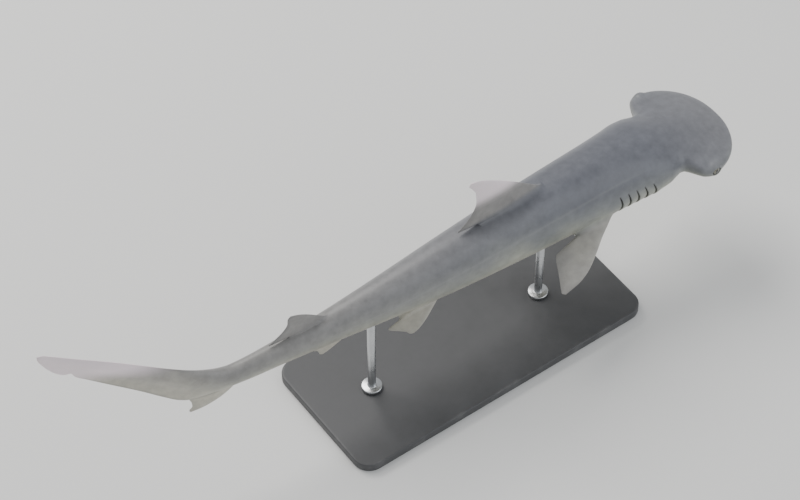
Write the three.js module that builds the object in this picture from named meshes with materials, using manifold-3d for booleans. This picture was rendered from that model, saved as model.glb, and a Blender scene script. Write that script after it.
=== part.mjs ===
// A bonnethead, the small hammerhead shark with a shovel-shaped head, as a still, life-size
// museum model on a low stand. The shark swims level, with its tail swung to its left.
//
// Millimetres, +Z up. The origin is the centre of the stand's underside, and the snout
// points along +X, so the shark's left side is +Y.
//
// The body is described straight, by its distance s behind the snout, y to the left and z
// above the axis, and posed() then bends it along the spine. Profiles are shares of the
// total length, as a fish is measured.

import * as THREE from 'three';
import { LoftGeometry } from 'three/addons/geometries/LoftGeometry.js';
import { mergeVertices } from 'three/addons/utils/BufferGeometryUtils.js';
import Module from 'manifold-3d';

const wasm = await Module();
wasm.setup();

// Driving dimensions
const totalLength = 950; // snout to the tip of the tail fin
const axisHeight = 172; // the body's axis above the floor
const balancePoint = 0.41; // the share of the length that stands over the origin
const seam = 0.3; // between pieces that meet
const edgeThickness = 0.4; // half the thickness of a fin's trailing edge

// Pose of the spine: how far it turns, in degrees, and between which shares of the length
const bodyTurn = { degrees: 3, from: 0.35, to: 0.74 };
const tailTurn = { degrees: 22, from: 0.7, to: 0.86 };

// Where the body is parted into its nodes, as shares of the length
const parting = { head: 0, gills: 0.13, trunk: 0.206, tail: 0.55, caudal: 0.741 };

const ringPoints = 32;

// A smooth curve through points [x, y] that never overshoots them.
function curveThrough(points) {
  const slopes = points.slice(1).map(([x, y], i) => (y - points[i][1]) / (x - points[i][0]));
  const tangents = points.map((_, i) => {
    if (i === 0) return slopes[0];
    if (i === slopes.length) return slopes[i - 1];
    const [before, after] = [slopes[i - 1], slopes[i]];
    return before * after <= 0 ? 0 : (2 * before * after) / (before + after);
  });
  return (x) => {
    const last = points.length - 2;
    let i = 0;
    while (i < last && x > points[i + 1][0]) i++;
    const span = points[i + 1][0] - points[i][0];
    const t = THREE.MathUtils.clamp((x - points[i][0]) / span, 0, 1);
    const start = (1 + 2 * t) * (1 - t) ** 2 * points[i][1] + t * (1 - t) ** 2 * span * tangents[i];
    const end = t * t * (3 - 2 * t) * points[i + 1][1] - t * t * (1 - t) * span * tangents[i + 1];
    return start + end;
  };
}

// The body's profiles: share of the length behind the snout, then share of the length.
const lobe = { halfWidth: 0.081, at: 0.072, frontPower: 2.15 };
const rearHalfWidth = curveThrough([
  [0.06, 0.081], [0.072, 0.081], [0.08, 0.078], [0.086, 0.069], [0.0905, 0.0595], [0.095, 0.0532],
  [0.1, 0.0518], [0.108, 0.0535], [0.12, 0.0563], [0.135, 0.0563], [0.16, 0.0528], [0.2, 0.0483],
  [0.26, 0.044], [0.32, 0.04], [0.39, 0.0355], [0.46, 0.0308], [0.54, 0.0242], [0.62, 0.0175],
  [0.7, 0.0125], [0.755, 0.0105],
]);
const backHeight = curveThrough([
  [0, 0.0012], [0.004, 0.0052], [0.012, 0.0092], [0.03, 0.015], [0.05, 0.0205], [0.075, 0.0272],
  [0.1, 0.0335], [0.13, 0.0395], [0.17, 0.0445], [0.22, 0.048], [0.29, 0.049], [0.36, 0.0455],
  [0.44, 0.0395], [0.52, 0.0318], [0.6, 0.0245], [0.68, 0.0186], [0.755, 0.015],
]);
const bellyDepth = curveThrough([
  [0, 0.0012], [0.004, 0.0048], [0.012, 0.0078], [0.03, 0.0115], [0.05, 0.0148], [0.075, 0.0195],
  [0.1, 0.026], [0.13, 0.0338], [0.17, 0.0412], [0.22, 0.0455], [0.29, 0.0468], [0.36, 0.0442],
  [0.44, 0.0392], [0.52, 0.031], [0.6, 0.0235], [0.68, 0.0176], [0.755, 0.0142],
]);

// The head's side lobes are thinner than its middle: their share of its height, and of its depth.
const lobeHeightShare = curveThrough([
  [0, 1], [0.012, 0.88], [0.03, 0.75], [0.05, 0.63], [0.072, 0.54], [0.088, 0.52], [0.106, 0.68],
  [0.13, 0.94], [0.155, 1], [1, 1],
]);
const lobeDepthShare = curveThrough([
  [0, 1], [0.012, 0.92], [0.03, 0.84], [0.05, 0.76], [0.072, 0.66], [0.088, 0.61], [0.106, 0.72],
  [0.13, 0.95], [0.155, 1], [1, 1],
]);
const headCore = 0.042; // half the width of the thick middle of the head
// How full a section is at its sides: 2 is an ellipse, and more is squarer. The lobes have blunt ends.
const backFullness = curveThrough([
  [0, 2.1], [0.03, 2.3], [0.055, 2.8], [0.09, 2.8], [0.125, 2.2], [0.16, 2.1], [1, 2.1],
]);
const bellyFullness = curveThrough([
  [0, 2.3], [0.03, 2.4], [0.055, 2.8], [0.09, 2.8], [0.125, 2.4], [0.16, 2.35], [1, 2.35],
]);

function halfWidth(share) {
  if (share >= lobe.at) return rearHalfWidth(share);
  return lobe.halfWidth * Math.sqrt(1 - (1 - share / lobe.at) ** lobe.frontPower);
}

// The point of a section of unit size in the direction of the angle.
function unitSection(angle, fullness) {
  const [across, up] = [Math.cos(angle), Math.sin(angle)];
  const reach = (Math.abs(across) ** fullness + Math.abs(up) ** fullness) ** (-1 / fullness);
  return [across * reach, up * reach];
}

// A point of the straight body's skin. The angle is 0 on the shark's left and 90 degrees on its back.
function bodyPoint(share, angle, swell = 0) {
  const above = Math.sin(angle) >= 0;
  const [across, up] = unitSection(angle, above ? backFullness(share) : bellyFullness(share));
  const y = (halfWidth(share) * totalLength + swell) * across;
  const middle = (above ? backHeight(share) : bellyDepth(share)) * totalLength;
  const thinnest = middle * (above ? lobeHeightShare(share) : lobeDepthShare(share));
  const thickness = thinnest + (middle - thinnest) * Math.exp(-((y / (headCore * totalLength)) ** 2));
  return new THREE.Vector3(share * totalLength, y, (thickness + swell) * up);
}

// The spine, walked backwards from the snout in steps of a millimetre.
const spine = (() => {
  const smooth = ({ degrees, from, to }, share) =>
    THREE.MathUtils.degToRad(degrees) * THREE.MathUtils.smoothstep(share, from, to);
  const heading = (s) => smooth(bodyTurn, s / totalLength) + smooth(tailTurn, s / totalLength);
  const steps = [{ x: 0, y: 0, turn: 0 }];
  for (let s = 1; s <= totalLength + 20; s++) {
    const turn = heading(s - 0.5);
    const last = steps[s - 1];
    steps.push({ x: last.x - Math.cos(turn), y: last.y + Math.sin(turn), turn: heading(s) });
  }
  const middle = steps[Math.round(balancePoint * totalLength)];
  return steps.map(({ x, y, turn }) => ({ x: x - middle.x, y: y - middle.y, turn }));
})();

function posed({ x: s, y, z }) {
  const at = THREE.MathUtils.clamp(s, 0, spine.length - 1.001);
  const [a, b] = [spine[Math.floor(at)], spine[Math.floor(at) + 1]];
  const t = at - Math.floor(at);
  const turn = a.turn + (b.turn - a.turn) * t;
  const ahead = at - s; // in front of the snout the spine runs straight on
  return new THREE.Vector3(
    a.x + (b.x - a.x) * t + y * Math.sin(turn) + ahead,
    a.y + (b.y - a.y) * t + y * Math.cos(turn),
    z + axisHeight,
  );
}

// A closed geometry as a manifold solid, its faces turned outwards.
function solidOf(geometry) {
  const plain = new THREE.BufferGeometry().setAttribute('position', geometry.getAttribute('position'));
  plain.setIndex(geometry.index);
  const merged = mergeVertices(plain, 1e-4);
  const solid = () => new wasm.Manifold(new wasm.Mesh({
    numProp: 3,
    vertProperties: new Float32Array(merged.getAttribute('position').array),
    triVerts: new Uint32Array(merged.index.array),
  }));
  const made = solid();
  if (made.volume() > 0) return made;
  const index = merged.index.array;
  for (let i = 0; i < index.length; i += 3) [index[i], index[i + 1]] = [index[i + 1], index[i]];
  return solid();
}

// A capped loft. Its sections must turn counter-clockwise as seen from its end.
function loft(sections) {
  const middleOf = (section) =>
    section.reduce((sum, point) => sum.add(point), new THREE.Vector3()).divideScalar(section.length);
  const facing = new THREE.Vector3();
  sections[0].forEach((point, i, all) => {
    facing.add(new THREE.Vector3().crossVectors(point, all[(i + 1) % all.length]));
  });
  const backwards = facing.dot(middleOf(sections[1]).sub(middleOf(sections[0]))) < 0;
  const turned = backwards ? sections.map((section) => section.slice().reverse()) : sections;
  return solidOf(new LoftGeometry(turned, { capStart: true, capEnd: true }));
}

const largest = (solid) => solid.decompose().sort((a, b) => b.volume() - a.volume())[0];

function meshOf(name, solid, material) {
  const { numProp, vertProperties, triVerts } = largest(solid).getMesh();
  const position = new Float32Array((vertProperties.length / numProp) * 3);
  for (let i = 0; i < position.length / 3; i++) {
    position.set(vertProperties.subarray(i * numProp, i * numProp + 3), i * 3);
  }
  const geometry = new THREE.BufferGeometry();
  geometry.setAttribute('position', new THREE.BufferAttribute(position, 3));
  geometry.setIndex(new THREE.BufferAttribute(new Uint32Array(triVerts), 1));
  const mesh = new THREE.Mesh(geometry, material);
  mesh.name = name;
  return mesh;
}

// Materials
const skin = (color) => new THREE.MeshStandardMaterial({ color, roughness: 0.45, metalness: 0 });
const backSkin = () => skin(0x6f7580);
const finSkin = () => skin(0x8b8a86);
const paleSkin = () => skin(0xb9b8a6);
const eyeGlass = () => new THREE.MeshStandardMaterial({ color: 0x14140f, roughness: 0.1, metalness: 0 });
const steel = () => new THREE.MeshStandardMaterial({ color: 0xa8abad, roughness: 0.3, metalness: 1 });
const plate = () => new THREE.MeshStandardMaterial({ color: 0x3c3b39, roughness: 0.6, metalness: 0 });

// Body
const stations = [
  0.0004, 0.0015, 0.0035, 0.007, 0.012, 0.019, 0.028, 0.039, 0.051, 0.062, 0.072, 0.078, 0.0825, 0.0865,
  0.0905, 0.095, 0.1, 0.107, 0.116, 0.145, 0.162, 0.178, 0.192, 0.23, 0.26, 0.295, 0.33, 0.37, 0.41,
  0.45, 0.49, 0.52, 0.58, 0.61, 0.65, 0.69, 0.725,
];

function bodyLength(from, to, swell = 0) {
  const inside = stations.filter((share) => share > from + 0.002 && share < to - 0.002);
  const shares = [Math.max(from, stations[0]), ...inside, to];
  return loft(shares.map((share) => bodyRing(share, swell)));
}

function bodyRing(share, swell) {
  return Array.from({ length: ringPoints }, (_, i) =>
    posed(bodyPoint(share, (i / ringPoints) * 2 * Math.PI, swell)));
}

// Tail fin: the upper lobe carries the spine, and the lower lobe hangs from it.
const caudalTop = curveThrough([
  [parting.caudal, backHeight(parting.caudal)], [0.75, 0.0156], [0.762, 0.0178], [0.785, 0.0262],
  [0.82, 0.0425], [0.88, 0.0705], [0.94, 0.0945], [0.962, 0.1035], [0.971, 0.1065], [0.977, 0.1055],
]);
const caudalBottom = curveThrough([
  [parting.caudal, -bellyDepth(parting.caudal)], [0.76, -0.016], [0.785, -0.0192], [0.8, -0.021],
  [0.807, -0.0214], [0.818, -0.018], [0.836, -0.0065], [0.86, 0.0105], [0.895, 0.0325],
  [0.925, 0.0515], [0.9365, 0.059], [0.941, 0.0665], [0.948, 0.0655], [0.958, 0.0705], [0.966, 0.079],
  [0.9725, 0.0895], [0.9755, 0.0955], [0.977, 0.1002],
]);
const caudalHalfThickness = curveThrough([
  [parting.caudal, rearHalfWidth(parting.caudal)], [0.755, 0.0104], [0.77, 0.0097], [0.79, 0.0083],
  [0.82, 0.0063], [0.86, 0.0045], [0.91, 0.003], [0.977, 0.0012],
]);
const webShare = curveThrough([[parting.caudal, 0], [0.775, 0.15], [0.805, 0.45], [0.835, 1], [0.977, 1]]);
const thickestAt = 2.2; // raises the thickest line of the web towards its upper edge
const caudalStations = [
  0.75, 0.762, 0.775, 0.788, 0.8, 0.807, 0.818, 0.836, 0.855, 0.875, 0.895, 0.912, 0.925, 0.9365, 0.941,
  0.948, 0.956, 0.963, 0.969, 0.9735, 0.9755, 0.977,
];

function caudalRing(share) {
  return Array.from({ length: ringPoints }, (_, i) => {
    const angle = (i / ringPoints) * 2 * Math.PI;
    const fullness = Math.sin(angle) >= 0 ? backFullness(share) : bellyFullness(share);
    const [across, up] = unitSection(angle, fullness);
    const rise = (1 + up) / 2;
    const [top, bottom] = [caudalTop(share) * totalLength, caudalBottom(share) * totalLength];
    const half = caudalHalfThickness(share) * totalLength;
    const round = half * Math.abs(across);
    const web = half * Math.sin(Math.PI * rise ** thickestAt) ** 1.15;
    const thick = Math.max(round + (web - round) * webShare(share), edgeThickness);
    const y = Math.abs(across) < 1e-6 ? 0 : Math.sign(across) * thick;
    return posed(new THREE.Vector3(share * totalLength, y, bottom + (top - bottom) * rise));
  });
}

// What fins, rods and eyes are cut back by: the body a seam's width larger.
const bodyClearance = loft(
  [...stations, ...Object.values(parting)]
    .filter((share) => share > 0)
    .sort((a, b) => a - b)
    .map((share) => bodyRing(share, seam)),
);

const halfSeam = seam / 2 / totalLength;

// Grooves follow the skin: each is a loft of thin wedges along a path of [share, angle].
function groove(path, width, depth, lean = 0) {
  const sections = path.map(([share, angle], i) => {
    const point = bodyPoint(share, angle);
    const [next, last] = [path[Math.min(i + 1, path.length - 1)], path[Math.max(i - 1, 0)]];
    const along = bodyPoint(...next).sub(bodyPoint(...last)).normalize();
    const out = skinNormal(share, angle);
    const across = new THREE.Vector3().crossVectors(out, along).normalize();
    const fade = Math.sin((Math.PI * (i + 0.6)) / (path.length + 0.2));
    const bottom = point.clone().addScaledVector(out, -depth * fade).addScaledVector(across, lean * fade);
    const top = point.clone().addScaledVector(out, 1.5);
    return [
      bottom,
      top.clone().addScaledVector(across, width * fade),
      top.clone().addScaledVector(across, -width * fade),
    ].map(posed);
  });
  return loft(sections);
}

function skinNormal(share, angle) {
  const [ds, da] = [0.0005, 0.01];
  const along = bodyPoint(share + ds, angle).sub(bodyPoint(share - ds, angle));
  const around = bodyPoint(share, angle + da).sub(bodyPoint(share, angle - da));
  const normal = new THREE.Vector3().crossVectors(along, around).normalize();
  const outward = new THREE.Vector3(0, Math.cos(angle), Math.sin(angle));
  return normal.dot(outward) < 0 ? normal.negate() : normal;
}

const steps = (count, from, to, place) =>
  Array.from({ length: count }, (_, i) => place(from + ((to - from) * i) / (count - 1)));

// Head: the flat shovel with an eye at the end of each lobe
const eye = {
  share: 0.066, radius: 7.6, inset: 6.4, rise: 0.8, lid: 1.5, opening: { long: 6.7, high: 5.6 },
};

function eyeCentre(side) {
  const y = side * (halfWidth(eye.share) * totalLength - eye.inset);
  return new THREE.Vector3(eye.share * totalLength, y, eye.rise);
}

function ball(centre, radius, around, high) {
  return solidOf(new THREE.SphereGeometry(radius, around, high).translate(...posed(centre)));
}

// The space an eye fills, and the window between its lids.
function eyeSocket(side) {
  const { long, high } = eye.opening;
  const window = new THREE.CylinderGeometry(1, 1, 3 * eye.radius, 20).scale(long, 1, high);
  window.translate(...posed(eyeCentre(side).add(new THREE.Vector3(0, side * 1.5 * eye.radius, 0))));
  return ball(eyeCentre(side), eye.radius + seam, 20, 12).add(solidOf(window));
}

const nostril = { share: 0.034, inset: 7.5, length: 14, width: 1.5, height: 4.5, level: -6, turn: 0.6 };

function nostrilCut(side) {
  const slit = new THREE.SphereGeometry(1, 12, 6).scale(nostril.width, nostril.length / 2, nostril.height);
  slit.rotateZ(side * nostril.turn);
  const y = side * (halfWidth(nostril.share) * totalLength - nostril.inset);
  const middle = posed(new THREE.Vector3(nostril.share * totalLength, y, nostril.level));
  return solidOf(slit.translate(...middle));
}

// The mouth is an arch under the head, open towards the tail.
const mouth = { front: 0.079, reach: 0.037, halfWidth: 0.031, grooveWidth: 1, grooveDepth: 3 };

function mouthPath(setBack) {
  return steps(17, -1, 1, (t) => {
    const turn = (t * Math.PI) / 2;
    const share = mouth.front + setBack + mouth.reach * (1 - Math.cos(turn));
    const y = (mouth.halfWidth - setBack) * Math.sin(turn);
    const across = THREE.MathUtils.clamp(y / halfWidth(share), -1, 1);
    const fullness = bellyFullness(share);
    return [share, Math.atan2(-((1 - Math.abs(across) ** fullness) ** (1 / fullness)), across)];
  });
}

function lowerLip() {
  const sections = mouthPath(0.0026).map(([share, angle], i, path) => {
    const centre = posed(bodyPoint(share, angle));
    const out = skinNormal(share, angle);
    const next = posed(bodyPoint(...path[Math.min(i + 1, path.length - 1)]));
    const along = next.sub(posed(bodyPoint(...path[Math.max(i - 1, 0)]))).normalize();
    const across = new THREE.Vector3().crossVectors(out, along).normalize();
    const thickness = 1.1 + 0.5 * Math.sin((Math.PI * i) / (path.length - 1));
    return steps(7, 0, 2 * Math.PI, (turn) => turn).slice(1).map((turn) =>
      centre.clone()
        .addScaledVector(out, 0.75 * thickness * Math.cos(turn))
        .addScaledVector(across, thickness * Math.sin(turn)));
  });
  return loft(sections);
}

function head() {
  let solid = bodyLength(parting.head, parting.gills - halfSeam);
  for (const side of [-1, 1]) {
    solid = solid.add(ball(eyeCentre(side), eye.radius + eye.lid, 24, 16)).subtract(eyeSocket(side));
    solid = solid.subtract(nostrilCut(side));
  }
  return solid.subtract(groove(mouthPath(0), mouth.grooveWidth, mouth.grooveDepth)).add(lowerLip());
}

// Gills: five slits on each side, each under the raised rear edge of its flap
const gills = {
  first: 0.148, last: 0.198, count: 5, top: 0.16, bottom: -0.64, width: 1, depth: 4.5, lean: 3,
  flapLength: 8.5, flapRise: 1,
};

function gillPath(side, index) {
  const share = THREE.MathUtils.lerp(gills.first, gills.last, index / (gills.count - 1));
  return steps(9, 0, 1, (t) => {
    const angle = gills.top + (gills.bottom - gills.top) * t;
    const bow = 0.0035 * Math.sin(Math.PI * t) + 0.004 * t;
    return [share - bow, side > 0 ? angle : Math.PI - angle];
  });
}

function gillFlap(side, index) {
  const sections = gillPath(side, index).map(([share, angle], i, path) => {
    const out = skinNormal(share, angle);
    const swell = Math.sin((Math.PI * (i + 0.5)) / path.length);
    const front = share - (gills.flapLength / totalLength) * (0.5 + 0.5 * swell);
    const edge = bodyPoint(share, angle);
    return [
      bodyPoint(front, angle).addScaledVector(skinNormal(front, angle), -0.3),
      edge.clone().addScaledVector(out, gills.flapRise * swell),
      edge.clone().addScaledVector(out, -1),
    ].map(posed);
  });
  return loft(sections);
}

function gillRegion() {
  let solid = bodyLength(parting.gills + halfSeam, parting.trunk - halfSeam);
  for (let i = 0; i < gills.count; i++) {
    for (const side of [-1, 1]) {
      const slit = groove(gillPath(side, i), gills.width, gills.depth, side * gills.lean);
      solid = solid.add(gillFlap(side, i)).subtract(slit);
    }
  }
  return solid;
}

// Fins: thin sections stacked from the root out to the tip. frontEdge and rearEdge give the
// ends of each section behind the fin's origin, at a height above the root, in shares of the length.
const sectionShape = [0.03, 0.12, 0.3, 0.55, 0.8];
const flareReach = 7; // how far up a fin its thicker root reaches

function finSection(fin, height) {
  const [front, rear] = [fin.frontEdge(height), fin.rearEdge(height)].map((x) => x * totalLength);
  const reach = fin.height * totalLength;
  const up = height * totalLength;
  const slim = 1 - 0.8 * THREE.MathUtils.clamp(up / reach, 0, 1);
  const rootFlare = 1 + fin.flare * Math.exp(-Math.max(up, 0) / flareReach);
  const thick = (along) =>
    edgeThickness + 2.6 * Math.sqrt(along) * (1 - along) * fin.thickness * slim * rootFlare;
  const lean = fin.curl ? fin.curl * (up / reach) ** 2 : 0;
  const place = (along, side) =>
    new THREE.Vector3()
      .addScaledVector(fin.chord, front + (rear - front) * along)
      .addScaledVector(fin.span, up)
      .addScaledVector(fin.face, side * (along === 0 ? 0 : thick(along)) + lean)
      .add(fin.origin);
  return [
    place(0, 1),
    ...sectionShape.map((along) => place(along, 1)),
    place(1, 1),
    place(1, -1),
    ...sectionShape.slice().reverse().map((along) => place(along, -1)),
  ].map(posed);
}

function finSolid(fin) {
  const sunk = steps(2, -fin.root, 0, (height) => height);
  const risen = steps(fin.sections, 0, 1, (t) => fin.height * Math.sin((t * Math.PI) / 2) ** fin.spread);
  const near = fin.rearTipHeight ? [0.45, 1, 1.9].map((part) => part * fin.rearTipHeight) : [];
  const heights = [...new Set([...sunk, ...near, ...risen])].sort((a, b) => a - b);
  const apart = heights.filter((height, i) => i === 0 || height - heights[i - 1] > 0.0008);
  return loft(apart.map((height) => finSection(fin, height)));
}

// A fin on the middle line of the back (side 1) or of the belly (side -1).
function medianFin({ at, base, side, ...rest }) {
  const profile = side > 0 ? backHeight : bellyDepth;
  const from = new THREE.Vector3(at, 0, side * profile(at)).multiplyScalar(totalLength);
  const to = new THREE.Vector3(at + base, 0, side * profile(at + base)).multiplyScalar(totalLength);
  const chord = to.sub(from).normalize();
  const face = new THREE.Vector3(0, 1, 0);
  const span = new THREE.Vector3().crossVectors(chord, face).multiplyScalar(-side);
  if (span.z * side < 0) span.negate();
  return { origin: from, chord, span, face, spread: 0.8, sections: 9, root: 0.012, flare: 0.9, ...rest };
}

const firstDorsal = medianFin({
  at: 0.293, base: 0.096, side: 1, height: 0.083, thickness: 3, rearTipHeight: 0.0055,
  frontEdge: curveThrough([
    [-0.012, -0.008], [0, 0], [0.026, 0.0265], [0.046, 0.0485], [0.062, 0.068], [0.073, 0.083],
    [0.0805, 0.095], [0.083, 0.1015],
  ]),
  rearEdge: curveThrough([
    [-0.012, 0.096], [0, 0.096], [0.0055, 0.128], [0.0105, 0.12], [0.024, 0.105], [0.042, 0.0975],
    [0.057, 0.0975], [0.072, 0.1035], [0.0805, 0.108], [0.083, 0.1062],
  ]),
});

const secondDorsal = medianFin({
  at: 0.618, base: 0.052, side: 1, height: 0.036, thickness: 1.8, rearTipHeight: 0.004, sections: 7,
  frontEdge: curveThrough([
    [-0.012, -0.006], [0, 0], [0.0125, 0.0125], [0.0235, 0.0245], [0.0315, 0.0355], [0.036, 0.0445],
  ]),
  rearEdge: curveThrough([
    [-0.012, 0.052], [0, 0.052], [0.004, 0.08], [0.008, 0.0725], [0.015, 0.0595], [0.024, 0.0515],
    [0.0325, 0.05], [0.036, 0.0478],
  ]),
});

const anal = medianFin({
  at: 0.573, base: 0.06, side: -1, height: 0.025, thickness: 1.8, rearTipHeight: 0.0032, sections: 7,
  frontEdge: curveThrough([
    [-0.012, -0.006], [0, 0], [0.0083, 0.0135], [0.0162, 0.0275], [0.0218, 0.039], [0.025, 0.0475],
  ]),
  rearEdge: curveThrough([
    [-0.012, 0.06], [0, 0.06], [0.0032, 0.086], [0.006, 0.079], [0.0111, 0.0635], [0.0167, 0.0555],
    [0.0227, 0.053], [0.025, 0.051],
  ]),
});

// A fin of a pair, on the left (side 1) or right (side -1), drooping below level by so many degrees.
function pairedFin({ at, angle, side, droop, pitch, ...rest }) {
  const around = THREE.MathUtils.degToRad(side > 0 ? angle : 180 - angle);
  const [down, nose] = [droop, pitch].map(THREE.MathUtils.degToRad);
  const span = new THREE.Vector3(0, side * Math.cos(down), -Math.sin(down));
  const chord = new THREE.Vector3(Math.cos(nose), 0, 0)
    .addScaledVector(new THREE.Vector3(0, side * Math.sin(down), Math.cos(down)), -Math.sin(nose));
  const face = new THREE.Vector3().crossVectors(chord, span).multiplyScalar(side);
  const origin = bodyPoint(at, around);
  return { origin, chord, span, face, spread: 0.8, sections: 9, flare: 0.9, ...rest };
}

const pectoral = (side) => pairedFin({
  at: 0.207, angle: -34, side, droop: 20, pitch: 5, height: 0.058, thickness: 3.3, root: 0.02,
  rearTipHeight: 0.008,
  frontEdge: curveThrough([
    [-0.02, -0.008], [0, 0], [0.0195, 0.0275], [0.0375, 0.0525], [0.0485, 0.071], [0.055, 0.0895],
    [0.058, 0.108],
  ]),
  rearEdge: curveThrough([
    [-0.02, 0.054], [0, 0.055], [0.008, 0.0905], [0.013, 0.095], [0.0245, 0.1005], [0.039, 0.1075],
    [0.051, 0.1135], [0.056, 0.1155], [0.058, 0.1145],
  ]),
});

const pelvic = (side) => pairedFin({
  at: 0.464, angle: -58, side, droop: 18, pitch: 3, height: 0.024, thickness: 1.9, root: 0.012,
  rearTipHeight: 0.0038, sections: 7,
  frontEdge: curveThrough([
    [-0.012, -0.006], [0, 0], [0.0086, 0.0135], [0.0162, 0.0275], [0.021, 0.0385], [0.024, 0.0475],
  ]),
  rearEdge: curveThrough([
    [-0.012, 0.054], [0, 0.055], [0.0038, 0.076], [0.0067, 0.0738], [0.0124, 0.0655], [0.0184, 0.0575],
    [0.0222, 0.0552], [0.024, 0.053],
  ]),
});

// Tail fin: the lower lobe hangs from the upper one, and is parted from it by a slanting cut
const lowerLobeFin = {
  origin: new THREE.Vector3(0.743, 0, -0.015).multiplyScalar(totalLength),
  chord: new THREE.Vector3(1, 0, 0), span: new THREE.Vector3(0, 0, -1), face: new THREE.Vector3(0, 1, 0),
  height: 0.031, thickness: 2.5, root: 0.003, flare: 0, spread: 0.8, sections: 8,
  frontEdge: curveThrough([
    [-0.003, 0.0005], [0, 0.001], [0.008, 0.009], [0.0165, 0.0215], [0.023, 0.0345], [0.028, 0.048],
    [0.031, 0.0615],
  ]),
  rearEdge: curveThrough([
    [-0.003, 0.061], [0, 0.0615], [0.0075, 0.0625], [0.014, 0.0602], [0.0215, 0.0597], [0.028, 0.0638],
    [0.031, 0.0645],
  ]),
};
const lobeCut = {
  from: new THREE.Vector3(0.741, 0, -0.0172).multiplyScalar(totalLength),
  to: new THREE.Vector3(0.806, 0, -0.0226).multiplyScalar(totalLength),
};

function caudalLobes() {
  const upper = loft([parting.caudal + halfSeam, ...caudalStations].map((share) => caudalRing(share)));
  const whole = upper.add(finSolid(lowerLobeFin)).subtract(bodyClearance);
  const [from, to] = [posed(lobeCut.from), posed(lobeCut.to)];
  const side = posed(lobeCut.to.clone().add(new THREE.Vector3(0, 1, 0))).sub(to);
  const up = new THREE.Vector3().crossVectors(to.sub(from), side).normalize();
  if (up.z < 0) up.negate();
  const height = up.dot(from);
  return {
    upper: whole.trimByPlane(up.toArray(), height + seam / 2),
    lower: whole.trimByPlane(up.clone().negate().toArray(), -height + seam / 2),
  };
}

// Stand: a flat plate with two short rods
const base = { length: 430, width: 190, thickness: 12, corner: 22, bevel: 1.5 };
const rod = { radius: 5, footRadius: 13, footHeight: 5, shares: { front: 0.285, rear: 0.552 } };

function basePlate() {
  const [x, y] = [base.length / 2 - base.bevel, base.width / 2 - base.bevel];
  const outline = new THREE.Shape();
  outline.absarc(x - base.corner, y - base.corner, base.corner, 0, Math.PI / 2);
  outline.absarc(-x + base.corner, y - base.corner, base.corner, Math.PI / 2, Math.PI);
  outline.absarc(-x + base.corner, -y + base.corner, base.corner, Math.PI, 1.5 * Math.PI);
  outline.absarc(x - base.corner, -y + base.corner, base.corner, 1.5 * Math.PI, 2 * Math.PI);
  const slab = new THREE.ExtrudeGeometry(outline, {
    depth: base.thickness - 2 * base.bevel, curveSegments: 8,
    bevelThickness: base.bevel, bevelSize: base.bevel, bevelSegments: 1,
  });
  return solidOf(slab.translate(0, 0, base.bevel));
}

// A round rod with a flanged foot, standing on the plate under the body's middle line.
function standRod(share) {
  const { radius, footRadius, footHeight } = rod;
  const top = axisHeight - base.thickness;
  const section = [
    [0, 0], [footRadius, 0], [footRadius, footHeight - 1], [footRadius - 1, footHeight],
    [radius, footHeight], [radius, top], [0, top],
  ].map(([x, y]) => new THREE.Vector2(x, y));
  const foot = posed(new THREE.Vector3(share * totalLength, 0, -axisHeight));
  const shaft = new THREE.LatheGeometry(section, 24).rotateX(Math.PI / 2);
  return solidOf(shaft.translate(foot.x, foot.y, base.thickness + seam)).subtract(bodyClearance);
}

// Assembly
const shark = new THREE.Group();
const add = (name, solid, material) => shark.add(meshOf(name, solid, material));
const offBody = (fin) => finSolid(fin).subtract(bodyClearance);

add('head', head(), backSkin());
add('gill_region', gillRegion(), backSkin());
add('trunk', bodyLength(parting.trunk + halfSeam, parting.tail - halfSeam), backSkin());
add('tail', bodyLength(parting.tail + halfSeam, parting.caudal - halfSeam), backSkin());
for (const [side, word] of [[1, 'left'], [-1, 'right']]) {
  add(`eye_${word}`, ball(eyeCentre(side), eye.radius, 20, 12), eyeGlass());
  add(`pectoral_fin_${word}`, offBody(pectoral(side)), finSkin());
  add(`pelvic_fin_${word}`, offBody(pelvic(side)), paleSkin());
}
add('first_dorsal_fin', offBody(firstDorsal), finSkin());
add('second_dorsal_fin', offBody(secondDorsal), finSkin());
add('anal_fin', offBody(anal), paleSkin());
const caudalFin = caudalLobes();
add('caudal_fin_upper_lobe', caudalFin.upper, finSkin());
add('caudal_fin_lower_lobe', caudalFin.lower, paleSkin());
add('stand_base', basePlate(), plate());
for (const [word, share] of Object.entries(rod.shares)) add(`stand_rod_${word}`, standRod(share), steel());

export default shark;
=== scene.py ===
# A bonnethead, the small hammerhead shark with a shovel-shaped head, life-size on a display stand.
# Metres, +Z up. The snout points along +X, so the shark's left side is +Y.

import math
from functools import lru_cache

import bmesh
import bpy
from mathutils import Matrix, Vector


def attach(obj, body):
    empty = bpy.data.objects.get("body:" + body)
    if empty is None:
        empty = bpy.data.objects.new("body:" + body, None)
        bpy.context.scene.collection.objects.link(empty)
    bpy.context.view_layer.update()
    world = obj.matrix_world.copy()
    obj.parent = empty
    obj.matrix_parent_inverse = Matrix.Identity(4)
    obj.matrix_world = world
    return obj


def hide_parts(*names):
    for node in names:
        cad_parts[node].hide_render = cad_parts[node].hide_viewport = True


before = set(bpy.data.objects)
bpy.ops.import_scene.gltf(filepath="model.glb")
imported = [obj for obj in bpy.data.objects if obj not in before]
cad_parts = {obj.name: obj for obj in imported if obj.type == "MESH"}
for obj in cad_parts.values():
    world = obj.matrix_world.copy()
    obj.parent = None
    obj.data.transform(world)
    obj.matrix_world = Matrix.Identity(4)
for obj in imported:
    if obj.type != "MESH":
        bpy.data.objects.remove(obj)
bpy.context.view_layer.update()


# Camera
# It looks down on the right flank, as from a low bank, with the head at the upper right of the
# picture and the tail at the lower left.

aim = Vector((-0.0586, 0.0496, 0.1712))
distance = 3.125
azimuth = math.radians(-36)
elevation = math.radians(50)
focal_length = 118.4

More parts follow.
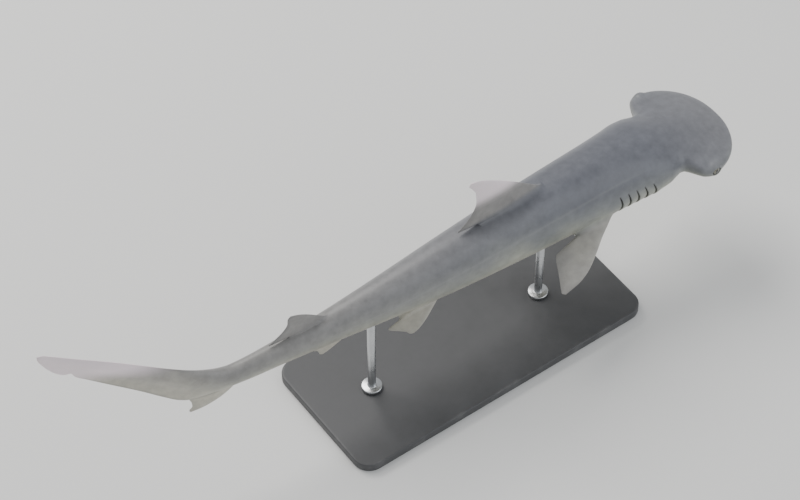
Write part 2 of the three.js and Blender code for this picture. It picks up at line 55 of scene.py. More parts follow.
towards_camera = Vector((
    math.sin(azimuth) * math.cos(elevation),
    -math.cos(azimuth) * math.cos(elevation),
    math.sin(elevation),
))
lens = bpy.data.cameras.new("camera")
lens.lens = focal_length
lens.sensor_width = 36
lens.clip_end = 50
camera = bpy.data.objects.new("camera", lens)
camera.location = aim + towards_camera * distance
camera.rotation_euler = (-towards_camera).to_track_quat("-Z", "Y").to_euler()
bpy.context.collection.objects.link(camera)
bpy.context.scene.camera = camera


# Skin
# The hide of the whole animal in one piece, head, body and fins. It is tough, closely set with
# tiny flat denticles, slate grey on the back and greenish cream below.
# It is modelled straight, by the distance s behind the snout, y to the left and z above the
# axis, and bent along the spine at the end. Profiles are shares of the total length.

total_length = 0.95
axis_height = 0.172
balance_point = 0.41
edge_thickness = 0.0004
caudal_start = 0.741
body_turn = {"degrees": 3, "start": 0.35, "end": 0.74}
tail_turn = {"degrees": 22, "start": 0.7, "end": 0.86}


def curve_through(*points):
    """A smooth curve through points (x, y) that never overshoots them."""
    slopes = [(b[1] - a[1]) / (b[0] - a[0]) for a, b in zip(points, points[1:])]
    tangents = [slopes[0]]
    for before, after in zip(slopes, slopes[1:]):
        tangents.append(2 * before * after / (before + after) if before * after > 0 else 0)
    tangents.append(slopes[-1])

    def curve(x):
        i = 0
        while i < len(points) - 2 and x > points[i + 1][0]:
            i += 1
        span = points[i + 1][0] - points[i][0]
        t = min(max((x - points[i][0]) / span, 0), 1)
        start = (1 + 2 * t) * (1 - t) ** 2 * points[i][1] + t * (1 - t) ** 2 * span * tangents[i]
        end = t * t * (3 - 2 * t) * points[i + 1][1] - t * t * (1 - t) * span * tangents[i + 1]
        return start + end

    return curve


def smoothstep(x, start, end):
    t = min(max((x - start) / (end - start), 0), 1)
    return t * t * (3 - 2 * t)


lobe = {"half_width": 0.081, "at": 0.072, "front_power": 2.15}
rear_half_width = curve_through(
    (0.06, 0.081), (0.072, 0.081), (0.08, 0.078), (0.086, 0.069), (0.0905, 0.0595), (0.095, 0.0532),
    (0.1, 0.0518), (0.108, 0.0535), (0.12, 0.0563), (0.135, 0.0563), (0.16, 0.0528), (0.2, 0.0483),
    (0.26, 0.044), (0.32, 0.04), (0.39, 0.0355), (0.46, 0.0308), (0.54, 0.0242), (0.62, 0.0175),
    (0.7, 0.0125), (0.755, 0.0105),
)
back_height = curve_through(
    (0, 0.0012), (0.004, 0.0052), (0.012, 0.0092), (0.03, 0.015), (0.05, 0.0205), (0.075, 0.0272),
    (0.1, 0.0335), (0.13, 0.0395), (0.17, 0.0445), (0.22, 0.048), (0.29, 0.049), (0.36, 0.0455),
    (0.44, 0.0395), (0.52, 0.0318), (0.6, 0.0245), (0.68, 0.0186), (0.755, 0.015),
)
belly_depth = curve_through(
    (0, 0.0012), (0.004, 0.0048), (0.012, 0.0078), (0.03, 0.0115), (0.05, 0.0148), (0.075, 0.0195),
    (0.1, 0.026), (0.13, 0.0338), (0.17, 0.0412), (0.22, 0.0455), (0.29, 0.0468), (0.36, 0.0442),
    (0.44, 0.0392), (0.52, 0.031), (0.6, 0.0235), (0.68, 0.0176), (0.755, 0.0142),
)
# The head's side lobes are thinner than its middle.
lobe_height_share = curve_through(
    (0, 1), (0.012, 0.88), (0.03, 0.75), (0.05, 0.63), (0.072, 0.54), (0.088, 0.52), (0.106, 0.68),
    (0.13, 0.94), (0.155, 1), (1, 1),
)
lobe_depth_share = curve_through(
    (0, 1), (0.012, 0.92), (0.03, 0.84), (0.05, 0.76), (0.072, 0.66), (0.088, 0.61), (0.106, 0.72),
    (0.13, 0.95), (0.155, 1), (1, 1),
)
head_core = 0.042
# How full a section is at its sides: 2 is an ellipse, and more is squarer.
back_fullness = curve_through(
    (0, 2.1), (0.03, 2.3), (0.055, 2.8), (0.09, 2.8), (0.125, 2.2), (0.16, 2.1), (1, 2.1),
)
belly_fullness = curve_through(
    (0, 2.3), (0.03, 2.4), (0.055, 2.8), (0.09, 2.8), (0.125, 2.4), (0.16, 2.35), (1, 2.35),
)
snout_round = 0.0018

caudal_top = curve_through(
    (caudal_start, back_height(caudal_start)), (0.75, 0.0156), (0.762, 0.0178), (0.785, 0.0262),
    (0.82, 0.0425), (0.88, 0.0705), (0.94, 0.0945), (0.962, 0.1035), (0.971, 0.1065), (0.977, 0.1055),
)
caudal_bottom = curve_through(
    (caudal_start, -belly_depth(caudal_start)), (0.76, -0.016), (0.785, -0.0192), (0.8, -0.021),
    (0.807, -0.0214), (0.818, -0.018), (0.836, -0.0065), (0.86, 0.0105), (0.895, 0.0325),
    (0.925, 0.0515), (0.9365, 0.059), (0.941, 0.0665), (0.948, 0.0655), (0.958, 0.0705),
    (0.966, 0.079), (0.9725, 0.0895), (0.9755, 0.0955), (0.977, 0.1002),
)
caudal_half_thickness = curve_through(
    (caudal_start, rear_half_width(caudal_start)), (0.755, 0.0104), (0.77, 0.0097), (0.79, 0.0083),
    (0.82, 0.0063), (0.86, 0.0045), (0.91, 0.003), (0.977, 0.0012),
)
web_share = curve_through((caudal_start, 0), (0.775, 0.15), (0.805, 0.45), (0.835, 1), (0.977, 1))
thickest_at = 2.2


def half_width(share):
    if share >= lobe["at"]:
        return rear_half_width(share)
    return lobe["half_width"] * math.sqrt(1 - (1 - share / lobe["at"]) ** lobe["front_power"])


@lru_cache(maxsize=None)
def profile(share, above):
    """Half the width, and the thickness at the middle and at the lobes, in metres, with the fullness."""
    depth = (back_height if above else belly_depth)(share) * total_length
    nose = 1 - min(share * total_length / snout_round, 1)
    depth *= math.sqrt(1 - nose * nose)
    lobe_share = (lobe_height_share if above else lobe_depth_share)(share)
    fullness = (back_fullness if above else belly_fullness)(share)
    return half_width(share) * total_length, depth, depth * lobe_share, fullness


def unit_section(angle, fullness):
    across, up = math.cos(angle), math.sin(angle)
    reach = (abs(across) ** fullness + abs(up) ** fullness) ** (-1 / fullness)
    return across * reach, up * reach


def body_point(s, angle):
    """A point of the straight body. The angle is 0 on the left flank and a quarter turn on the back."""
    width, middle, thin, fullness = profile(s / total_length, math.sin(angle) >= 0)
    across, up = unit_section(angle, fullness)
    y = width * across
    core = math.exp(-((y / (head_core * total_length)) ** 2))
    return Vector((s, y, (thin + (middle - thin) * core) * up))


def caudal_point(s, angle):
    share = s / total_length
    fullness = (back_fullness if math.sin(angle) >= 0 else belly_fullness)(share)
    across, up = unit_section(angle, fullness)
    rise = (1 + up) / 2
    top, bottom = caudal_top(share) * total_length, caudal_bottom(share) * total_length
    half = caudal_half_thickness(share) * total_length
    web = half * math.sin(math.pi * rise ** thickest_at) ** 1.15
    roundness = half * abs(across)
    thick = max(roundness + (web - roundness) * web_share(share), edge_thickness)
    side = 0 if abs(across) < 1e-6 else math.copysign(1, across)
    return Vector((s, side * thick, bottom + (top - bottom) * rise))


def skin_normal(s, angle):
    along = body_point(s + 0.0005, angle) - body_point(s - 0.0005, angle)
    around = body_point(s, angle + 0.01) - body_point(s, angle - 0.01)
    normal = along.cross(around).normalized()
    return normal if normal.dot(Vector((0, math.cos(angle), math.sin(angle)))) > 0 else -normal


# Five gill slits on each side, each under the loose rear edge of its flap. The rows of the hide
# run along them. A row is told by where it lies on flat skin, where it lies in the fold and how
# far it rises, in millimetres.
gills = {"first": 0.148, "last": 0.198, "count": 5, "top": 0.16, "bottom": -0.64}
gill_fold = (
    (-7.5, -7.5, 0), (-6, -6, 0.12), (-4.6, -4.4, 0.35), (-3.2, -2.8, 0.62), (-1.9, -1.4, 0.88),
    (-0.9, -0.35, 1), (-0.3, 0.35, 0.8), (0.1, 0.45, 0.2), (0.5, -0.5, -1.8), (0.9, 0.5, -2.4),
    (1.4, 1.5, -1.5), (2, 2.2, -0.5), (2.8, 3, 0),
)


def gill_reach(angle):
    """How far down a slit an angle lies: 0 at its top and 1 at its lower end."""
    across = angle if math.cos(angle) > 0 else math.pi - angle
    across = (across + math.pi) % (2 * math.pi) - math.pi
    return (gills["top"] - across) / (gills["top"] - gills["bottom"])


def gill_bow(s, angle):
    t = gill_reach(angle)
    inside = min(max(t, 0), 1)
    bow = 0.0035 * math.sin(math.pi * inside) + 0.004 * inside * (1 - smoothstep(t, 1, 2.1))
    share = s / total_length
    return bow * total_length * smoothstep(share, 0.1, 0.139) * (1 - smoothstep(share, 0.2, 0.24))


def row_distances():
    """The rows of the hide from the snout back: distance, and the fold a gill's row takes."""
    snout_rows = 14
    snout_end = 0.008
    rows = [(snout_end * (i / snout_rows) ** 2, None) for i in range(snout_rows)]

    def add_even(end, step):
        start = rows[-1][0] + step
        count = max(round((end - start) / step), 1)
        rows.extend((start + (end - start) * i / count, None) for i in range(count + 1))

    rows.append((snout_end, None))
    for end, step in ((0.0485, 0.0017), (0.077, 0.00095), (0.1318, 0.0012)):
        add_even(end, step)
    for index in range(gills["count"]):
        share = gills["first"] + (gills["last"] - gills["first"]) * index / (gills["count"] - 1)
        rows.extend((share * total_length, fold) for fold in gill_fold)
    last_fold = rows[-1][0] + gill_fold[-1][0] / 1000
    rows.append((last_fold + 0.0018, None))
    for end, step in ((0.704, 0.0033), (0.866, 0.0024), (0.906, 0.0013), (0.92815, 0.0014)):
        add_even(end, step)
    return rows


rows = row_distances()
columns = 160


def hide_point(row, angle):
    s, fold = rows[row]
    if s >= caudal_start * total_length:
        return caudal_point(s, angle)
    if s == 0:
        return Vector((0, 0, 0))
    if fold is None:
        return body_point(s - gill_bow(s, angle), angle)
    flat, folded, rise = fold
    t = gill_reach(angle)
    window = max(math.sin(math.pi * t), 0) ** 0.6 if 0 < t < 1 else 0
    at = s + (flat + (folded - flat) * window) / 1000
    at -= gill_bow(s, angle)
    point = body_point(at, angle)
    if window and rise:
        point += skin_normal(at, angle) * rise * window / 1000
    return point


# The lateral line runs along each flank, at this angle above the middle.
flank_line = curve_through((0.1, 0.75), (0.25, 0.5), (0.45, 0.28), (0.7, 0.05), (1, 0.05))

hide = bmesh.new()
bmesh.ops.create_grid(hide, x_segments=len(rows) - 1, y_segments=columns, size=0.5)
row_of = hide.verts.layers.int.new("row")
column_of = hide.verts.layers.int.new("column")
# What the material reads: how far up the back, on a fin, along its rear edge, painted sheen on its high
# tip, painted shade in a fold, across the fin's rays, among the pores of the snout and on the line of the
# flank.
tone_names = ("back", "fin", "margin", "dry", "fold", "ray", "snout", "line")
tone = {name: hide.verts.layers.float.new(name) for name in tone_names}
straight = hide.verts.layers.float_vector.new("straight")
last_row = len(rows) - 1
for vert in hide.verts:
    row = round((vert.co.x + 0.5) * last_row)
    column = round((vert.co.y + 0.5) * columns) % columns
    angle = column * 2 * math.pi / columns
    vert[row_of], vert[column_of] = row, column
    vert.co = hide_point(row, angle)
    if row == last_row:
        vert.co.y = 0
    vert[tone["back"]] = math.sin(angle)
    fold = rows[row][1]
    # Painted shade: the skin in the undercut of each gill slit is darkened, the more the deeper it lies.
    if fold:
        t = gill_reach(angle)
        depth = max(0, -fold[2]) / 2.4
        vert[tone["fold"]] = depth * (1 if 0 < t < 1 else 0)
    share = vert.co.x / total_length
    vert[tone["snout"]] = smoothstep(share, 0.1, 0.06) * smoothstep(math.sin(angle), 0.35, -0.1)
    from_line = math.asin(math.sin(angle)) - flank_line(share)
    vert[tone["line"]] = math.exp(-((from_line / 0.035) ** 2)) * smoothstep(share, 0.13, 0.22)
    caudal = smoothstep(share, 0.745, 0.83)
    if caudal:
        rise = (1 + math.sin(angle)) / 2
        vert[tone["back"]] = math.sin(angle) * (1 - caudal) + (rise * 1.05 - 0.62) * caudal
        vert[tone["fin"]] = caudal
        vert[tone["margin"]] = caudal * max(smoothstep(rise, 0.93, 1), 0.8 * smoothstep(rise, 0.12, 0))
        # Painted sheen on the highest part of the tail.
        vert[tone["dry"]] = smoothstep(vert.co.z / total_length, 0.038, 0.066) * caudal
        vert[tone["ray"]] = rise
bmesh.ops.remove_doubles(hide, verts=hide.verts, dist=1e-6)


# Fins
# They grow out of the same hide: a patch of it is drawn out ring by ring. Each is a thin blade,
# thickest a third of the way back, and its root runs out into the body in a hollow curve.

fin_rows = [0.01, 0.022, 0.038, 0.058, 0.082, 0.11]
fin_rows += [0.11 + 0.89 * math.sin(math.pi / 2 * i / 20) for i in range(1, 21)]
rounded_tip = 0.93


def fin_point(fin, along, across, up):
    """A point of a fin: along its chord from 0 to 1, across from face to face, and up the fin."""
    front = fin["front"](up / total_length) * total_length
    rear = fin["rear"](up / total_length) * total_length
    rise = min(max(up / (fin["height"] * total_length), 0), 1)
    thick = edge_thickness + 2.6 * math.sqrt(along) * (1 - along) * fin["thickness"] * (1 - 0.8 * rise)
    hollow = fin["fillet"] - min(max(up, 0), fin["fillet"])
    root = fin["fillet"] - math.sqrt(fin["fillet"] ** 2 - hollow ** 2)
    thick += root * math.sqrt(math.cos(along * math.pi / 2)) * (0.35 + 0.65 * min(along * 6, 1))
    front -= root * fin["nose"]
    tip = max(rise - rounded_tip, 0) / (1 - rounded_tip)
    middle, half = (front + rear) / 2, (rear - front) / 2 * math.sqrt(max(1 - 0.97 * tip * tip, 0))
    edge = edge_thickness * math.cos(across * math.pi / 2)
    rounding = (edge if along > 0.999 else 0) - (edge if along < 0.001 else 0)
    point = fin["origin"] + fin["chord"] * (middle + half * (2 * along - 1) + rounding)
    return point + fin["span"] * up + fin["face"] * thick * math.sin(across * math.pi / 2)


def column_offset(vert, middle):
    return (vert[column_of] - middle + columns // 2) % columns - columns // 2


def grow_fin(fin):
    middle = round(fin["angle"] / (2 * math.pi) * columns) % columns
    reach = fin["half_columns"]
    strip = [vert for vert in hide.verts if abs(column_offset(vert, middle)) <= reach]
    line = sorted((vert for vert in strip if vert[column_of] == middle), key=lambda vert: vert[row_of])
    start = fin["from"] * total_length - fin["fillet"] * fin["nose"]
    base = [vert for vert in line if start <= vert.co.x <= fin["to"] * total_length]
    first, last = base[0][row_of], base[-1][row_of]
    patch = {vert for vert in strip if first <= vert[row_of] <= last}
    faces = [face for face in hide.faces if all(vert in patch for vert in face.verts)]
    skin_height = {vert[row_of]: (vert.co - fin["origin"]).dot(fin["span"]) for vert in base}
    root = {vert for face in faces for vert in face.verts}
    for share in fin_rows:
        grown = bmesh.ops.extrude_face_region(hide, geom=faces)["geom"]
        bmesh.ops.delete(hide, geom=faces, context="FACES")
        faces = [part for part in grown if isinstance(part, bmesh.types.BMFace)]
        for vert in {vert for face in faces for vert in face.verts}:
            along = ((vert[row_of] - first) / (last - first)) ** 1.3
            across = fin["turn"] * column_offset(vert, middle) / reach
            base_height = skin_height[vert[row_of]]
            up = base_height * (1 - share) + fin["height"] * total_length * share
            vert.co = fin_point(fin, along, across, up)
            blend = smoothstep(share, 0, 0.12)
            side = fin["tone"][0] if across > 0 else fin["tone"][1]
            vert[tone["back"]] += (side - vert[tone["back"]]) * blend
            vert[tone["fin"]] = blend
            rear_edge = max(smoothstep(along, 0.82, 1), smoothstep(share, 0.86, 1))
            vert[tone["margin"]] = rear_edge * blend * fin["margin"]
            # Painted sheen on the highest part of a fin that has it.
            vert[tone["dry"]] = fin["dry"] * smoothstep(up / total_length, 0.028, 0.048)
            vert[tone["ray"]] = along
    near = {vert for vert in root if vert.is_valid}
    ring = {edge.other_vert(vert) for vert in near for edge in vert.link_edges}
    for verts in (near | ring, near):
        bmesh.ops.smooth_vert(
            hide, verts=list(verts), factor=0.5, use_axis_x=True, use_axis_y=True, use_axis_z=True,
        )


def median_fin(at, base, side, **rest):
    depth = back_height if side > 0 else belly_depth
    start = Vector((at, 0, side * depth(at))) * total_length
    end = Vector((at + base, 0, side * depth(at + base))) * total_length
    chord = (end - start).normalized()
    face = Vector((0, 1, 0))
    span = chord.cross(face) * -side
    if span.z * side < 0:
        span.negate()
    fin = {"origin": start, "chord": chord, "span": span, "face": face, "nose": 0.9}
    fin.update({"from": at + 0.001, "to": at + base, "angle": side * math.pi / 2, "turn": -side})
    fin.update({"half_columns": 6, "margin": 1, "dry": 0, **rest})
    return fin


def paired_fin(at, base, angle, side, droop, pitch, **rest):
    around = math.radians(angle if side > 0 else 180 - angle)
    down, nose = math.radians(droop), math.radians(pitch)
    span = Vector((0, side * math.cos(down), -math.sin(down)))
    tilt = Vector((0, side * math.sin(down), math.cos(down)))
    chord = Vector((math.cos(nose), 0, 0)) - tilt * math.sin(nose)
    fin = {"origin": body_point(at * total_length, around), "chord": chord, "span": span, "nose": 0.9}
    fin.update({"face": chord.cross(span) * side, "angle": around, "turn": side})
    fin.update({"from": at + 0.001, "to": at + base, "half_columns": 6, "margin": 1, "dry": 0, **rest})
    return fin


fins = [
    median_fin(
        at=0.293, base=0.096, side=1, height=0.083, thickness=0.003, fillet=0.008,
        tone=(0.55, 0.55), dry=1,
        front=curve_through(
            (-0.012, -0.008), (0, 0), (0.026, 0.0265), (0.046, 0.0485), (0.062, 0.068), (0.073, 0.083),
            (0.0805, 0.095), (0.083, 0.1015),
        ),
        rear=curve_through(
            (-0.012, 0.096), (0, 0.096), (0.0055, 0.128), (0.0105, 0.12), (0.024, 0.105),
            (0.042, 0.0975), (0.057, 0.0975), (0.072, 0.1035), (0.0805, 0.108), (0.083, 0.1062),
        ),
    ),
    median_fin(
        at=0.618, base=0.052, side=1, height=0.036, thickness=0.0018, fillet=0.0033,
        tone=(0.6, 0.6),
        front=curve_through(
            (-0.012, -0.006), (0, 0), (0.0125, 0.0125), (0.0235, 0.0245), (0.0315, 0.0355),
            (0.036, 0.0445),
        ),
        rear=curve_through(
            (-0.012, 0.052), (0, 0.052), (0.004, 0.08), (0.008, 0.0725), (0.015, 0.0595),
            (0.024, 0.0515), (0.0325, 0.05), (0.036, 0.0478),
        ),
    ),
    median_fin(
        at=0.573, base=0.06, side=-1, height=0.025, thickness=0.0018, fillet=0.0033,
        tone=(-0.5, -0.5), margin=0.3,
        front=curve_through(
            (-0.012, -0.006), (0, 0), (0.0083, 0.0135), (0.0162, 0.0275), (0.0218, 0.039),
            (0.025, 0.0475),
        ),
        rear=curve_through(
            (-0.012, 0.06), (0, 0.06), (0.0032, 0.086), (0.006, 0.079), (0.0111, 0.0635),
            (0.0167, 0.0555), (0.0227, 0.053), (0.025, 0.051),
        ),
    ),
]
for side in (1, -1):
    fins.append(paired_fin(
        at=0.207, base=0.055, angle=-34, side=side, droop=20, pitch=5, height=0.058, thickness=0.0033,
        fillet=0.007, tone=(0.1, -0.8), margin=0.6,
        front=curve_through(
            (-0.02, -0.008), (0, 0), (0.0195, 0.0275), (0.0375, 0.0525), (0.0485, 0.071),
            (0.055, 0.0895), (0.058, 0.108),
        ),
        rear=curve_through(
            (-0.02, 0.054), (0, 0.055), (0.008, 0.0905), (0.013, 0.095), (0.0245, 0.1005),
            (0.039, 0.1075), (0.051, 0.1135), (0.056, 0.1155), (0.058, 0.1145),
        ),
    ))
    fins.append(paired_fin(
        at=0.464, base=0.055, angle=-58, side=side, droop=18, pitch=3, height=0.024, thickness=0.0019,
        fillet=0.0042, tone=(-0.35, -0.8), margin=0.3, half_columns=4,
        front=curve_through(
            (-0.012, -0.006), (0, 0), (0.0086, 0.0135), (0.0162, 0.0275), (0.021, 0.0385),
            (0.024, 0.0475),
        ),
        rear=curve_through(
            (-0.012, 0.054), (0, 0.055), (0.0038, 0.076), (0.0067, 0.0738), (0.0124, 0.0655),
            (0.0184, 0.0575), (0.0222, 0.0552), (0.024, 0.053),
        ),
    ))
# The lower lobe of the tail fin hangs from the upper one.
fins.append({
    "origin": Vector((0.743, 0, -0.015)) * total_length, "chord": Vector((1, 0, 0)),
    "span": Vector((0, 0, -1)), "face": Vector((0, 1, 0)), "height": 0.031, "thickness": 0.0025,
    "fillet": 0.0001, "nose": 0, "from": 0.7455, "to": 0.8055, "angle": -math.pi / 2, "turn": 1,
    "half_columns": 5, "tone": (-0.5, -0.5), "margin": 0.3, "dry": 0,
    "front": curve_through(
        (-0.003, 0.0005), (0, 0.001), (0.008, 0.009), (0.0165, 0.0215), (0.023, 0.0345),
        (0.028, 0.048), (0.031, 0.0615),
    ),
    "rear": curve_through(
        (-0.003, 0.061), (0, 0.0615), (0.0075, 0.0625), (0.014, 0.0602), (0.0215, 0.0597),
        (0.028, 0.0638), (0.031, 0.0645),
    ),
})
for fin in fins:
    grow_fin(fin)


# Mouth and nostrils
# The mouth is an arch under the head with thin lips, shut. A nostril is a slit under the front
# edge of each lobe, with a small flap over its inner end.

mouth = {"front": 0.079, "reach": 0.037, "half_width": 0.031}
nostril = {"share": 0.034, "inset": 0.0075, "half_length": 0.007, "turn": 0.6}


def refine(wanted, cuts):
    """Cut the faces round the wanted vertices finer, and give the vertices found there."""
    faces = [face for face in hide.faces if all(wanted(vert.co) for vert in face.verts)]
    edges = list({edge for face in faces for edge in face.edges})
    bmesh.ops.subdivide_edges(hide, edges=edges, cuts=cuts, use_grid_fill=True)
    return [vert for vert in hide.verts if wanted(vert.co)]


def mouth_distance(point):
    """How far a point lies outside the arch of the mouth, in metres."""
    reach, half = mouth["reach"] * total_length, mouth["half_width"] * total_length
    centre = (mouth["front"] + mouth["reach"]) * total_length
    s, y = (point.x - centre) / reach, point.y / half
    size = math.hypot(s, y)
    slope = math.hypot(s / reach, y / half) / max(size, 1e-6)
    return (size - 1) / max(slope, 1e-6)


def near_mouth(point):
    inside = 0.065 < point.x / total_length < mouth["front"] + mouth["reach"] + 0.004
    return inside and point.z < -0.003 and abs(mouth_distance(point)) < 0.0065


def ridge(distance, middle, width):
    return math.exp(-(((distance - middle) / width) ** 2))


for vert in refine(near_mouth, 2):
    away = mouth_distance(vert.co)
    end = (mouth["front"] + mouth["reach"]) * total_length
    fade = smoothstep(vert.co.x, end + 0.001, end - 0.008)
    groove = -0.0032 * ridge(away, 0, 0.0008)
    lips = 0.0011 * ridge(away, -0.0024, 0.0015) + 0.0005 * ridge(away, 0.002, 0.0012)
    vert.co.z -= (groove + lips) * fade
    # Painted shade darkens the groove between the lips.
    vert[tone["fold"]] = max(vert[tone["fold"]], ridge(away, 0, 0.0011) * fade)

for side in (1, -1):
    middle = Vector((
        nostril["share"] * total_length,
        side * (half_width(nostril["share"]) * total_length - nostril["inset"]),
        0,
    ))
    along = Vector((math.sin(nostril["turn"]), side * math.cos(nostril["turn"]), 0))
    across = Vector((-along.y * side, along.x * side, 0))

    def near_nostril(point, middle=middle, along=along, across=across):
        offset = point - middle
        return point.z < -0.0015 and abs(offset.dot(along)) < 0.0095 and abs(offset.dot(across)) < 0.0038

    for vert in refine(near_nostril, 3):
        offset = vert.co - middle
        u = offset.dot(along) / nostril["half_length"]
        v = offset.dot(across)
        opened = math.sqrt(max(1 - u * u, 0))
        groove = -0.0034 * ridge(v, 0, 0.00075) * opened
        rim = 0.0006 * (ridge(v, 0.0016, 0.0008) + ridge(v, -0.0016, 0.0008)) * smoothstep(abs(u), 1.3, 0.8)
        flap = 0.0022 * ridge(v, 0.0002, 0.0014) * ridge(u, -0.45, 0.28)
        vert.co.z -= groove + rim + flap
        # Painted shade darkens the open part of the slit.
        slit = ridge(v, 0, 0.001) * opened * (1 - ridge(u, -0.45, 0.3))
        vert[tone["fold"]] = max(vert[tone["fold"]], slit)


# Eye openings
# Each eye sits in a low round swelling at the end of its lobe, behind a firm oval rim.

eye = {"share": 0.066, "radius": 0.0076, "inset": 0.0064, "rise": 0.0008, "lid": 0.0015}
opening = {"long": 0.0067, "high": 0.0056}
swelling = eye["radius"] + eye["lid"]
swelling_blend = 0.0022
# The rings of a rim from its outer edge in: size of the opening, and distance from the eye's middle.
rim_rings = ((0.955, 0.00895), (0.925, 0.0085), (0.92, 0.008), (0.93, 0.0076), (0.94, 0.0071))


def eye_centre(side):
    y = side * (half_width(eye["share"]) * total_length - eye["inset"])
    return Vector((eye["share"] * total_length, y, eye["rise"]))


def on_rim(centre, side, turn, size, radius):
    x = opening["long"] * size * math.cos(turn)
    z = opening["high"] * size * math.sin(turn)
    return centre + Vector((x, side * math.sqrt(radius ** 2 - x * x - z * z), z))


def loop_of(edges):
    """The vertices of a closed loop of edges, in order."""
    left = set(edges)
    edge = left.pop()
    loop = [edge.verts[0], edge.verts[1]]
    while left:
        step = next(e for e in loop[-1].link_edges if e in left)
        left.discard(step)
        loop.append(step.other_vert(loop[-1]))
    return loop[:-1]


for side in (1, -1):
    centre = eye_centre(side)
    for vert in hide.verts:
        offset = vert.co - centre
        if offset.length < 4 * swelling and offset.y * side > -0.012:
            far = offset.length
            soft = 0.5 * (far + swelling + math.sqrt((far - swelling) ** 2 + swelling_blend ** 2))
            fade = smoothstep(offset.y * side, -0.012, -0.002)
            vert.co = centre + offset * (1 + (soft / far - 1) * fade)
    socket = [
        face for face in hide.faces
        if all(
            (vert.co.y - centre.y) * side > 0
            and ((vert.co.x - centre.x) / opening["long"]) ** 2
            + ((vert.co.z - centre.z) / opening["high"]) ** 2 < 1
            for vert in face.verts
        )
    ]
    border = {edge for face in socket for edge in face.edges}
    bmesh.ops.delete(hide, geom=socket, context="FACES")
    border = [edge for edge in border if edge.is_valid]
    loop = loop_of(border)
    turns = [
        math.atan2((vert.co.z - centre.z) / opening["high"], (vert.co.x - centre.x) / opening["long"])
        for vert in loop
    ]
    way = 1 if math.sin(turns[3] - turns[0]) > 0 else -1
    offsets = [turn - way * 2 * math.pi * i / len(loop) for i, turn in enumerate(turns)]
    shift = math.atan2(sum(math.sin(o) for o in offsets), sum(math.cos(o) for o in offsets))
    places = [shift + way * 2 * math.pi * i / len(loop) for i in range(len(loop))]
    for vert, turn in zip(loop, places):
        vert.co = on_rim(centre, side, turn, 1, swelling)
        # Painted shade darkens the edge of the socket a little.
        vert[tone["fold"]] = 0.1
    reached = set(loop)
    for _ in range(3):
        beside = {e.other_vert(v) for v in reached for e in v.link_edges} - set(loop)
        bmesh.ops.smooth_vert(
            hide, verts=list(beside), factor=0.5, use_axis_x=True, use_axis_y=True, use_axis_z=True,
        )
        reached |= beside
        for vert in beside:
            offset = vert.co - centre
            vert.co = centre + offset * max(1, (swelling + 0.0002) / offset.length)
    for size, radius in rim_rings:
        grown = bmesh.ops.extrude_edge_only(hide, edges=border)["geom"]
        border = [part for part in grown if isinstance(part, bmesh.types.BMEdge)]
        new = [part for part in grown if isinstance(part, bmesh.types.BMVert)]
        for vert in new:
            high, long = (vert.co.z - centre.z) / opening["high"], (vert.co.x - centre.x) / opening["long"]
            turn = math.atan2(high, long)
            vert.co = on_rim(centre, side, turn, size, radius)
            # Painted shade darkens the rim's rings more deeply.
            vert[tone["fold"]] = 0.45
    floor_of_socket = bmesh.ops.edgeloop_fill(hide, edges=border)["faces"]
    bmesh.ops.poke(hide, faces=floor_of_socket)


# The hide is bent along the spine, which is walked backwards from the snout in millimetres.
spine_step = 0.001


def heading(s):
    share = s / total_length
    turns = (body_turn, tail_turn)
    return sum(
        math.radians(turn["degrees"]) * smoothstep(share, turn["start"], turn["end"]) for turn in turns
    )


def walk_spine():
    steps = [(0, 0, 0)]
    for i in range(1, round(total_length / spine_step) + 21):
        turn = heading((i - 0.5) * spine_step)
        x, y, _ = steps[-1]
        x_next, y_next = x - math.cos(turn) * spine_step, y + math.sin(turn) * spine_step
        steps.append((x_next, y_next, heading(i * spine_step)))
    middle = steps[int(balance_point * total_length / spine_step + 0.5)]
    return [(x - middle[0], y - middle[1], turn) for x, y, turn in steps]


spine = walk_spine()


def posed(point):
    at = min(max(point.x / spine_step, 0), len(spine) - 1.001)
    a, b = spine[int(at)], spine[int(at) + 1]
    t = at - int(at)
    turn = a[2] + (b[2] - a[2]) * t
    ahead = at * spine_step - point.x
    return Vector((
        a[0] + (b[0] - a[0]) * t + point.y * math.sin(turn) + ahead,
        a[1] + (b[1] - a[1]) * t + point.y * math.cos(turn),
        point.z + axis_height,
    ))


for vert in hide.verts:
    vert[straight] = vert.co
    vert.co = posed(vert.co)
bmesh.ops.recalc_face_normals(hide, faces=hide.faces)


def piece_from(mesh_maker, name, material):
    """A finished piece: its mesh, smooth, with its material, in the scene."""
    mesh = bpy.data.meshes.new(name)
    mesh_maker.to_mesh(mesh)
    mesh_maker.free()
    mesh.shade_smooth()
    mesh.materials.append(material)
    piece = bpy.data.objects.new(name, mesh)
    bpy.context.collection.objects.link(piece)
    return piece


def add_node(tree, kind, inputs=None, **settings):
    """A node with its settings, and its inputs given as values or as the sockets they come from."""
    made = tree.nodes.new(kind)
    for key, value in settings.items():
        setattr(made, key, value)
    for key, value in (inputs or {}).items():
        if isinstance(value, bpy.types.NodeSocket):
            tree.links.new(value, made.inputs[key])
        else:
            made.inputs[key].default_value = value
    return made


def new_material(name):
    material = bpy.data.materials.new(name)
    material.use_nodes = True
    material.node_tree.nodes.clear()
    return material, material.node_tree


def finish_material(tree, **sockets):
    inputs = {key.replace("_", " "): value for key, value in sockets.items()}
    shader = add_node(tree, "ShaderNodeBsdfPrincipled", inputs)
    output = add_node(tree, "ShaderNodeOutputMaterial")
    tree.links.new(shader.outputs["BSDF"], output.inputs["Surface"])


def attribute(tree, name):
    return add_node(tree, "ShaderNodeAttribute", attribute_name=name).outputs


def math_node(tree, operation, a, b=0.0, clamp=False):
    return add_node(tree, "ShaderNodeMath", {0: a, 1: b}, operation=operation, use_clamp=clamp).outputs[0]


def map_range(tree, value, source, target):
    inputs = {
        "Value": value, "From Min": source[0], "From Max": source[1], "To Min": target[0],
        "To Max": target[1],
    }
    return add_node(tree, "ShaderNodeMapRange", inputs).outputs[0]


